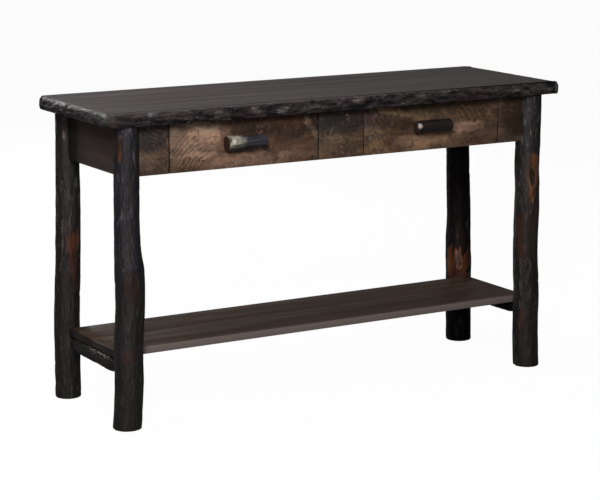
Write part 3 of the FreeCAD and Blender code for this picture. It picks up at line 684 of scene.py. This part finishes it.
def barkwood_finish():
    finish, tree, shader, where = new_finish("barkwood", 0.55, 0.35)
    warp = wire(tree, "ShaderNodeTexNoise", {"Vector": where, "Scale": 22, "Detail": 4, "Roughness": 0.6})
    bend = wire(tree, "ShaderNodeVectorMath", {0: warp.outputs["Color"], 1: (0.5, 0.5, 0.5)},
                operation="SUBTRACT")
    bend = wire(tree, "ShaderNodeVectorMath", {0: bend.outputs[0], "Scale": 0.05}, operation="SCALE")
    loose = wire(tree, "ShaderNodeVectorMath", {0: where, 1: bend.outputs[0]}, operation="ADD").outputs[0]
    streak = speckle(tree, loose, 30, 7, 0.7, (0.22, 1, 1))
    cloud = speckle(tree, loose, 11, 4, 0.6, (0.6, 1, 1), (2, 0, 5))
    skin = tints(tree, streak, [
        (0.28, stain(42, 31, 25)), (0.46, stain(72, 54, 43)), (0.58, stain(96, 74, 60)),
        (0.74, stain(128, 103, 85))])
    for *place, colour, share in board_patches:
        held = times(tree, weathered_patch(tree, loose, *place), share)
        toned = lay_over(tree, window(tree, streak, 0.34, 0.66), stain(*colour, share=0.68),
                         stain(*colour, share=1.26))
        skin = lay_over(tree, held, skin, toned)
    keen = saw_marks(tree, where, loose, cloud)
    skin = lay_over(tree, times(tree, keen, 0.32), skin, stain(182, 152, 130))
    tick = speckle(tree, loose, 120, 4, 0.65, (1, 1, 0.14), (3, 3, 9))
    skin = lay_over(tree, window(tree, tick, 0.56, 0.70, 0.0, 0.26), skin, stain(138, 112, 92))
    skin = lay_over(tree, window(tree, tick, 0.44, 0.32, 0.0, 0.5), skin, stain(34, 24, 19))
    grime = speckle(tree, where, 90, 5, 0.7, (0.5, 1, 1), (9, 2, 3))
    skin = lay_over(tree, window(tree, grime, 0.54, 0.68, 0.0, 0.55), skin, stain(36, 26, 21))
    chips = speckle(tree, where, 120, 4, 0.7, (0.6, 1, 1), (1, 8, 6))
    chips = times(tree, window(tree, chips, 0.60, 0.72, 0.0, 0.5), window(tree, cloud, 0.42, 0.58))
    skin = lay_over(tree, chips, skin, stain(184, 158, 136))
    # Painted shade: the ends of the pieces, which face each other across the narrow gaps beside the
    # drawers, are near black.
    sawn_end = reckon(tree, "ABSOLUTE", normal_along(tree, "X"))
    skin = lay_over(tree, window(tree, sawn_end, 0.2, 0.6), skin, stain(9, 7, 6))
    tree.links.new(skin, shader.inputs["Base Color"])
    tree.links.new(window(tree, streak, 0.3, 0.7, 0.62, 0.46), shader.inputs["Roughness"])
    rise = plus(tree, times(tree, keen, 0.6), times(tree, streak, 0.5))
    rise = plus(tree, rise, times(tree, grime, -0.4))
    raise_grain(tree, shader, rise, 0.0009, 0.8)
    return finish


sawn_ease = 0.0013
barkwood = barkwood_finish()
for name in ("stile_left", "stile_middle", "stile_right"):
    eased_board(name, sawn_ease, barkwood, "table")


# Slides: three rolled and zinc-plated steel members on each side of each drawer, which
# run inside each other. The middle one moves half as far as the drawer.
def zinc_finish():
    finish, tree, shader, where = new_finish("zinc_steel", 0.34, 0.5)
    shader.inputs["Metallic"].default_value = 1.0
    rolled = speckle(tree, where, 90, 3, 0.5, (1, 0.03, 1))
    spangle = speckle(tree, where, 60, 2, 0.5)
    skin = tints(tree, spangle, [(0.35, stain(176, 178, 182)), (0.6, stain(206, 208, 210))])
    skin = lay_over(tree, window(tree, rolled, 0.5, 0.7, 0.0, 0.4), skin, stain(150, 150, 152))
    tree.links.new(skin, shader.inputs["Base Color"])
    tree.links.new(window(tree, rolled, 0.3, 0.7, 0.26, 0.44), shader.inputs["Roughness"])
    raise_grain(tree, shader, rolled, 0.0001, 0.4)
    return finish


dress([f"{bay}_slide_{hand}_{member}" for bay in ("left", "right") for hand in "lr"
       for member in ("fixed", "middle", "drawer")], zinc_finish())


# Drawers: pale boxes with a grooved-in plywood bottom behind the saw-marked fronts.
# The fronts are cut from the same board as the stiles, and screwed on from inside.
box_ease = 0.0008
pale_cross_wood = planed_finish("drawer_cross_wood", 0, *pale_tones, 0.45)
plywood = planed_finish("plywood", 0, (170, 132, 90), (196, 160, 116), (214, 182, 140), 0.5, 20)
for bay in ("left", "right"):
    for part, finish in (("box_side_l", pale_wood), ("box_side_r", pale_wood),
                         ("box_front", pale_cross_wood), ("box_back", pale_cross_wood)):
        eased_board(f"{bay}_{part}", box_ease, finish, f"{bay}_drawer")
    dress((f"{bay}_drawer_bottom",), plywood)
    eased_board(f"{bay}_drawer_front", sawn_ease, barkwood, f"{bay}_drawer")


# Handles: split hickory twigs, flat behind and sawn off at both ends. The left one is bare
# and grey on its left half; the right one keeps its dark bark.
def twig_finish(name, bare_end, bark, cut, middle, pale_spot_and_highlight):
    """Twig that is bare up to its middle, with painted shade on its underside and a pale spot near its left
    end, a painted highlight where it sits on the sawn end.
    """
    finish, tree, shader, where = new_finish(name, 0.5, 0.5)
    crack = wire(tree, "ShaderNodeAttribute", attribute_name="crack").outputs["Fac"]
    strand = speckle(tree, where, 90, 5, 0.6, (0.2, 1, 1))
    dark = tints(tree, strand, [(0.3, stain(*bark, share=0.4)), (0.7, stain(*bark))])
    worn = speckle(tree, where, 70, 4, 0.6, (0.6, 1, 1), (4, 4, 4))
    pale = tints(tree, worn, [
        (0.30, stain(*bare_end, share=0.40)), (0.46, stain(*bare_end, share=0.58)),
        (0.64, stain(*bare_end, share=0.84))])
    along = plus(tree, along_axis(tree, where, "X"), times(tree, speckle(tree, where, 70, 3), 0.03))
    skin = lay_over(tree, window(tree, along, middle - 0.006, middle + 0.012), pale, dark)
    # Painted shade: the twig is darker on its underside, below its axis.
    under = window(tree, along_axis(tree, where, "Z"), 0.668, 0.658, 0.0, 0.75)
    skin = lay_over(tree, under, skin, stain(34, 28, 25))
    skin = lay_over(tree, times(tree, crack, 0.7), skin, stain(14, 12, 12))
    end_grain = tints(tree, speckle(tree, where, 240, 3), [
        (0.35, stain(*cut, share=0.5)), (0.65, stain(*cut))])
    sawn_end = reckon(tree, "ABSOLUTE", normal_along(tree, "X"))
    skin = lay_over(tree, window(tree, sawn_end, 0.75, 0.9), skin, end_grain)
    # The pale spot is a painted highlight on the right twig's sawn end; on the left twig it pales the bare
    # wood near the end.
    pith = wire(tree, "ShaderNodeVectorMath", {0: where, 1: pale_spot_and_highlight}, operation="DISTANCE")
    skin = lay_over(tree, window(tree, pith.outputs["Value"], 0.0095, 0.0015, 0.0, 0.75), skin,
                    stain(206, 198, 184))
    tree.links.new(skin, shader.inputs["Base Color"])
    tree.links.new(window(tree, strand, 0.3, 0.7, 0.6, 0.42), shader.inputs["Roughness"])
    raise_grain(tree, shader, strand, 0.0012, 0.7)
    return finish


twig_height, twig_axis, twig_back = 0.670, -0.184, -0.1711
# Middle of the handle and its stations from the left, in millimetres, and its length in metres
handle_shapes = {
    "left": (-276.5, 0.107, [(0, 18.5, 0, 0), (53.5, 16.3, 0, 0), (107, 14.4, 0, 0)], twig_finish(
        "grey_twig", (206, 198, 178), (62, 62, 72), (60, 27, 18), -0.276, (-0.318, -0.199, 0.676))),
    "right": (266.5, 0.103, [(0, 15.5, 0, 0), (51.5, 16.0, 0, 0), (103, 15.7, 0, 0)], twig_finish(
        "dark_twig", (60, 44, 38), (32, 19, 16), (56, 42, 36), 0.222, (0.2172, -0.1968, 0.6745))),
}
for number, (bay, (at_x, length, stations, finish)) in enumerate(handle_shapes.items()):
    handle = bark_log(
        f"{bay}_handle_twig", length, stations, around=64, cuts=(55,), rim=0.002, seed=80 + 7.1 * number)
    left_end = Matrix.Translation((at_x * mm - length / 2, twig_axis, twig_height))
    handle.data.transform(left_end @ Matrix.Rotation(math.pi / 2, 4, "Y"))
    bpy.ops.object.mode_set(mode="EDIT")
    bpy.ops.mesh.select_all(action="SELECT")
    bpy.ops.mesh.bisect(
        plane_co=(0, twig_back, 0), plane_no=(0, 1, 0), use_fill=True, clear_outer=True)
    bpy.ops.object.mode_set(mode="OBJECT")
    handle.data.materials.append(finish)
    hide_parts(f"{bay}_handle")
    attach(handle, f"{bay}_drawer")


# Top: three planks glued edge to edge, sanded flat and stained charcoal. The rim is hewn to
# a rough edge that bulges at mid-height, and the front left corner is cut across.
top_length, top_deep, top_thick = 1.300, 0.412, 0.032
half_long, half_deep = top_length / 2, top_deep / 2
back_round, right_round, left_cut = 0.024, 0.007, 0.018
rim_reach, flat_inset, back_edge = 0.020, 0.0165, 0.180
surface = leg_height + top_thick
drop_selection()
bpy.ops.mesh.primitive_plane_add(size=1, location=(0, 0, leg_height))
slab = bpy.context.object
slab.name = "top_slab"
slab.scale = (top_length, top_deep, 1)
bpy.ops.object.transform_apply(location=True, rotation=True, scale=True)


def pick_corners(piece, wanted):
    bpy.ops.mesh.select_mode(type="VERT")
    bpy.ops.mesh.select_all(action="DESELECT")
    bpy.ops.object.mode_set(mode="OBJECT")
    for vert in piece.data.vertices:
        vert.select = wanted(vert.co)
    bpy.ops.object.mode_set(mode="EDIT")


bpy.ops.object.mode_set(mode="EDIT")
pick_corners(slab, lambda co: co.y > 0)
bpy.ops.mesh.bevel(offset=back_round, segments=8, affect="VERTICES")
near_front = mm - half_deep
pick_corners(slab, lambda co: co.x > half_long - mm and co.y < near_front)
bpy.ops.mesh.bevel(offset=right_round, segments=6, affect="VERTICES")
pick_corners(slab, lambda co: co.x < mm - half_long and co.y < near_front)
bpy.ops.mesh.bevel(offset=left_cut, segments=1, affect="VERTICES")
bpy.ops.mesh.select_all(action="SELECT")
bpy.ops.mesh.delete(type="ONLY_FACE")
# Edges over each reach are cut, the longest first, until the outline's steps are about 3 mm
for reach, count in ((0.9, 19), (0.2, 11), (0.04, 23), (0.02, 8)):
    pick_edges(slab, lambda a, b: (a - b).length > reach)
    bpy.ops.mesh.subdivide(number_cuts=count)
bpy.ops.mesh.select_all(action="SELECT")
rim_rows = 14
for _ in range(rim_rows + 2):
    bpy.ops.mesh.extrude_edges_move(TRANSFORM_OT_translate={"value": (0, 0, top_thick / rim_rows)})
bpy.ops.object.mode_set(mode="OBJECT")


def on_corner_cut(x, y):
    return abs(x + y + half_long + half_deep - left_cut) < 0.0004


def rim_direction(x, y):
    """Way out of the slab at a place on its outline, and how deep the rim may be hewn there."""
    if on_corner_cut(x, y):
        along = (x + half_long) / left_cut
        to_end = eased((0.12 - along) / 0.12)
        to_front = eased((along - 0.88) / 0.12)
        turn = math.radians(225 + 22.5 * (to_front - to_end))
        return math.cos(turn), math.sin(turn), 0.012
    radius = right_round if x > 0 and y < 0 else back_round if y > 0 else 0.0
    cx = min(max(x, radius - half_long), half_long - radius)
    cy = min(max(y, radius - half_deep), half_deep - radius)
    out = Vector((x - cx, y - cy))
    if out.length > 1e-5 and abs(x - cx) > 1e-6 and abs(y - cy) > 1e-6:
        out.normalize()
        return out.x, out.y, radius * 0.85
    if abs(abs(x) - half_long) < abs(abs(y) - half_deep):
        return math.copysign(1, x), 0.0, rim_reach
    return 0.0, math.copysign(1, y), rim_reach


def hewn(run_x, run_y, drop):
    """How far in the rim is hewn, in metres, at a place and a drop from 0, top, to 1."""
    place = Vector((run_x, run_y, 0))
    slow = 0.5 + 0.5 * noise.noise(place * 6 + Vector((3, 1, 2)))
    wave = 0.5 + 0.5 * noise.noise(Vector((run_x * 24, run_y * 24, drop * 1.4)))
    bend = 0.5 * noise.noise(place * 28)
    cell = Vector((run_x * 36, run_y * 36, drop * 2.6 + bend))
    nearest = noise.voronoi(cell)[1][0]
    tilt = noise.noise(nearest * 3.7 + Vector((9, 2, 4)))
    lean = noise.noise(nearest * 5.1 + Vector((1, 7, 3)))
    step = 0.5 + 0.5 * noise.noise(nearest * 2.3)
    across = cell.x - nearest.x + cell.y - nearest.y
    facet = step + 1.1 * across * tilt + 1.3 * (cell.z - nearest.z) * lean
    fine = noise.noise(Vector((run_x * 130, run_y * 130, drop * 7)))
    return max(0.0, 0.0008 * slow + 0.0012 * wave + 0.0036 * max(0.0, facet) + 0.0005 * fine)


gouge_shades = []
for vert in slab.data.vertices:
    row = round((vert.co.z - leg_height) * rim_rows / top_thick)
    x, y = vert.co.x, vert.co.y
    dx, dy, deepest = rim_direction(x, y)
    corner_cut, behind = on_corner_cut(x, y), y > back_edge
    worn = (0.0026 + 0.0012 * noise.noise(Vector((x * 30, y * 30, 4)))) * (0.3 if behind else 1.0)
    drop = 1 - min(row, rim_rows) / rim_rows
    calm = corner_cut or behind or x > half_long - 0.010
    cut = hewn(x, y, drop) * (0.3 if calm else 0.6 if x < mm - half_long else 1.0)
    top_lip = 0.0040 * max(0.0, (0.35 - drop) / 0.35) ** 2
    low_lip = 0.0036 * max(0.0, (drop - 0.55) / 0.45) ** 2
    cut_in = 0.0016 * (1 - drop) + top_lip + low_lip + cut
    vert.co.z = leg_height + (top_thick - worn) * (1 - drop)
    if row == rim_rows + 1:
        cut_in += 0.0010 if behind else 0.0030
        vert.co.z = surface - 0.28 * worn
    elif row > rim_rows + 1:
        cut_in = flat_inset
        vert.co.z = surface
    cut_in = min(cut_in, deepest if row < rim_rows + 2 else deepest + 0.0006)
    vert.co.x -= dx * cut_in
    vert.co.y -= dy * cut_in
    # Gouge shade: painted shade that darkens the rim where it is hewn deeper, and more along its left end;
    # the cut corner takes a fixed share and the rows above the rim a light one.
    shade = 0.3 if x < 0.010 - half_long else 0.0
    hewn_shade = min(1.0, shade + cut / 0.0048)
    gouge_shades.append(0.75 if corner_cut else hewn_shade if row <= rim_rows else 0.2)
slab.data.attributes.new("gouge_shade", "FLOAT", "POINT").data.foreach_set("value", gouge_shades)
bpy.ops.object.mode_set(mode="EDIT")
pick_edges(slab, lambda a, b: min(a.z, b.z) > surface - 0.01 * mm)
bpy.ops.mesh.edge_face_add()
pick_edges(slab, lambda a, b: max(a.z, b.z) < leg_height + 0.1 * mm)
bpy.ops.mesh.edge_face_add()
bpy.ops.mesh.select_all(action="SELECT")
bpy.ops.mesh.normals_make_consistent(inside=False)
bpy.ops.object.mode_set(mode="OBJECT")


def stained_top_finish():
    finish, tree, shader, where = new_finish("stained_top", 0.5, 0.25)
    streak, pore = grain_along(tree, where, 0, 30)
    wide = speckle(tree, where, 8, 3, 0.5, (0.12, 1, 1), (0, 3, 0))
    skin = tints(tree, streak, [
        (0.30, stain(52, 47, 46)), (0.50, stain(63, 57, 56)), (0.72, stain(74, 68, 67))])
    skin = lay_over(tree, window(tree, wide, 0.45, 0.7, 0.0, 0.5), skin, stain(60, 58, 62))
    skin = lay_over(tree, window(tree, pore, 0.58, 0.72, 0.0, 0.3), skin, stain(34, 30, 28))
    side = window(tree, reckon(tree, "ABSOLUTE", normal_along(tree, "Z")), 0.93, 0.75)
    # The gouge value darkens the rim in its deep cuts, as painted shade.
    gouge_shade = wire(tree, "ShaderNodeAttribute", attribute_name="gouge_shade").outputs["Fac"]
    split = speckle(tree, where, 80, 6, 0.7, (0.26, 0.26, 1.1), (2, 2, 2))
    # Rim colour: near black where hewn deep, as painted shade, and light grey flecks as painted highlights.
    rim_light_and_shade = reckon(tree, "SUBTRACT", times(tree, split, 1.5), times(tree, gouge_shade, 0.42))
    rim_with_painted_light = tints(tree, rim_light_and_shade, [
        (0.34, stain(10, 8, 9)), (0.47, stain(38, 32, 33)), (0.66, stain(58, 51, 52)),
        (0.80, stain(96, 90, 88))])
    red = speckle(tree, where, 16, 3, 0.5, (0.5, 0.5, 1), (6, 1, 1))
    rim_with_painted_light = lay_over(tree, window(tree, red, 0.54, 0.70, 0.0, 0.55), rim_with_painted_light, stain(48, 34, 33))
    corner = wire(tree, "ShaderNodeVectorMath", {0: where, 1: (-0.634, -0.203, 0.742)},
                  operation="DISTANCE").outputs["Value"]
    rim_with_painted_light = lay_over(tree, window(tree, corner, 0.018, 0.007, 0.0, 0.6), rim_with_painted_light, stain(62, 48, 43))
    tree.links.new(lay_over(tree, side, skin, rim_with_painted_light), shader.inputs["Base Color"])
    gloss = between(tree, side, window(tree, streak, 0.3, 0.7, 0.50, 0.60), 0.50)
    tree.links.new(gloss, shader.inputs["Roughness"])
    level = between(tree, side, times(tree, streak, 0.12), split)
    raise_grain(tree, shader, level, 0.0030, 0.9)
    return finish


stained_top = stained_top_finish()
front_seam, back_seam = -0.060, 0.078
for name, low, high in (("top_board_front", None, front_seam),
                        ("top_board_middle", front_seam, back_seam),
                        ("top_board_back", back_seam, None)):
    drop_selection()
    plank = bpy.data.objects.new(f"{name}_plank", slab.data.copy())
    bpy.context.collection.objects.link(plank)
    bpy.context.view_layer.objects.active = plank
    plank.select_set(True)
    bpy.ops.object.mode_set(mode="EDIT")
    for seam, toward in ((low, -1), (high, 1)):
        if seam is not None:
            bpy.ops.mesh.select_all(action="SELECT")
            bpy.ops.mesh.bisect(
                plane_co=(0, seam, 0), plane_no=(0, toward, 0), use_fill=True, clear_outer=True)
    bpy.ops.object.mode_set(mode="OBJECT")
    bpy.ops.object.shade_smooth_by_angle(angle=math.radians(38))
    plank.data.materials.append(stained_top)
    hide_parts(name)
    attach(plank, "table")
bpy.data.objects.remove(slab)


# Screws: dark plated wood screws. They hold the top to its cleats, the stiles, partitions
# and shelf to the frame, and the handles to the fronts, and most of them are hidden.
def dark_steel_finish():
    finish, tree, shader, where = new_finish("dark_steel", 0.42, 0.5)
    shader.inputs["Metallic"].default_value = 1.0
    worn = speckle(tree, where, 300, 3, 0.6)
    tree.links.new(tints(tree, worn, [(0.4, stain(58, 56, 54)), (0.7, stain(104, 100, 96))]),
                   shader.inputs["Base Color"])
    tree.links.new(window(tree, worn, 0.3, 0.7, 0.32, 0.55), shader.inputs["Roughness"])
    return finish


dress(("top_screws", "stile_screws", "partition_screws", "shelf_screws", "left_handle_screws",
       "right_handle_screws"), dark_steel_finish())


# Studio: pale floor that keeps a soft shadow, a white surround for the camera, and soft
# boxes on the camera's left, above and, weaker, behind.
def camera_rays(tree, straight_share):
    """Whether a ray comes straight from the camera, and how much of the white it is shown."""
    rays = wire(tree, "ShaderNodeLightPath")
    straight = reckon(tree, "MAXIMUM", rays.outputs["Is Camera Ray"], rays.outputs["Is Transmission Ray"])
    mirrored = times(tree, rays.outputs["Is Glossy Ray"], 0.04)
    return straight, reckon(tree, "MAXIMUM", times(tree, straight, straight_share), mirrored)


drop_selection()
bpy.ops.mesh.primitive_plane_add(size=60, location=(0, 0, 0))
floor = bpy.context.object
floor.name = "studio_floor"
paper, sheet, matt, _ = new_finish("studio_paper", 0.9, 0.1)
glow = wire(sheet, "ShaderNodeEmission", {"Color": (1, 1, 1, 1), "Strength": 1.0})
straight, shown = camera_rays(sheet, 0.96)
sheet.links.new(lay_over(sheet, straight, (0.10, 0.10, 0.10, 1), (0.95, 0.95, 0.95, 1)),
                matt.inputs["Base Color"])
blend = wire(sheet, "ShaderNodeMixShader", {0: shown, 1: matt.outputs[0], 2: glow.outputs[0]})
sheet.links.new(blend.outputs[0], sheet.nodes["Material Output"].inputs["Surface"])
floor.data.materials.append(paper)

world = bpy.context.scene.world or bpy.data.worlds.new("studio")
bpy.context.scene.world = world
world.use_nodes = True
sky = world.node_tree
sky.nodes.clear()
height = along_axis(sky, wire(sky, "ShaderNodeTexCoord").outputs["Generated"], "Z")
dome = tints(sky, height, [
    (at, (grey, grey, grey, 1)) for at, grey in ((0.0, 0.02), (0.25, 0.05), (0.9, 0.4))])
lit = wire(sky, "ShaderNodeBackground", {"Color": dome, "Strength": 0.4})
white = wire(sky, "ShaderNodeBackground", {"Color": (1, 1, 1, 1), "Strength": 1.0})
_, shown = camera_rays(sky, 1.0)
both = wire(sky, "ShaderNodeMixShader", {0: shown, 1: lit.outputs[0], 2: white.outputs[0]})
wire(sky, "ShaderNodeOutputWorld", {"Surface": both.outputs[0]})


def soft_box(name, at, target, width, tall, power):
    lamp = bpy.data.lights.new(name, "AREA")
    lamp.shape = "RECTANGLE"
    lamp.size = width
    lamp.size_y = tall
    lamp.energy = power
    box = bpy.data.objects.new(name, lamp)
    bpy.context.collection.objects.link(box)
    box.location = at
    box.rotation_euler = (Vector(target) - Vector(at)).to_track_quat("-Z", "Y").to_euler()


soft_box("key_softbox", (-2.5, -3.8, 3.2), (0, 0, 0.45), 1.4, 1.6, 225)
soft_box("low_softbox", (-2.9, -3.9, 1.4), (0, 0, 0.5), 0.9, 0.9, 30)
soft_box("top_softbox", (-1.1, 0.5, 3.2), (-0.2, 0, 0.5), 2.2, 1.4, 50)
soft_box("back_softbox", (-0.7, 4.2, 1.8), (0, 0, 0.3), 1.4, 1.0, 70)


# Camera: stands to the left as the photograph's does, looks 31 degrees to the right of square
# and 12 degrees down, and leans by a fifth of a degree.
camera_place = (-2.67605, -4.42857, 1.41948)
heading, down, roll = math.radians(31.004), math.radians(11.738), math.radians(0.202)
lens = bpy.data.cameras.new("studio_camera")
lens.sensor_width = 36
lens.lens = 123.49
lens.clip_end = 100
camera = bpy.data.objects.new("studio_camera", lens)
bpy.context.collection.objects.link(camera)
camera.matrix_world = (
    Matrix.Translation(camera_place) @ Matrix.Rotation(-heading, 4, "Z")
    @ Matrix.Rotation(math.pi / 2 - down, 4, "X") @ Matrix.Rotation(roll, 4, "Z"))
bpy.context.scene.camera = camera
bpy.context.scene.view_settings.view_transform = "Standard"
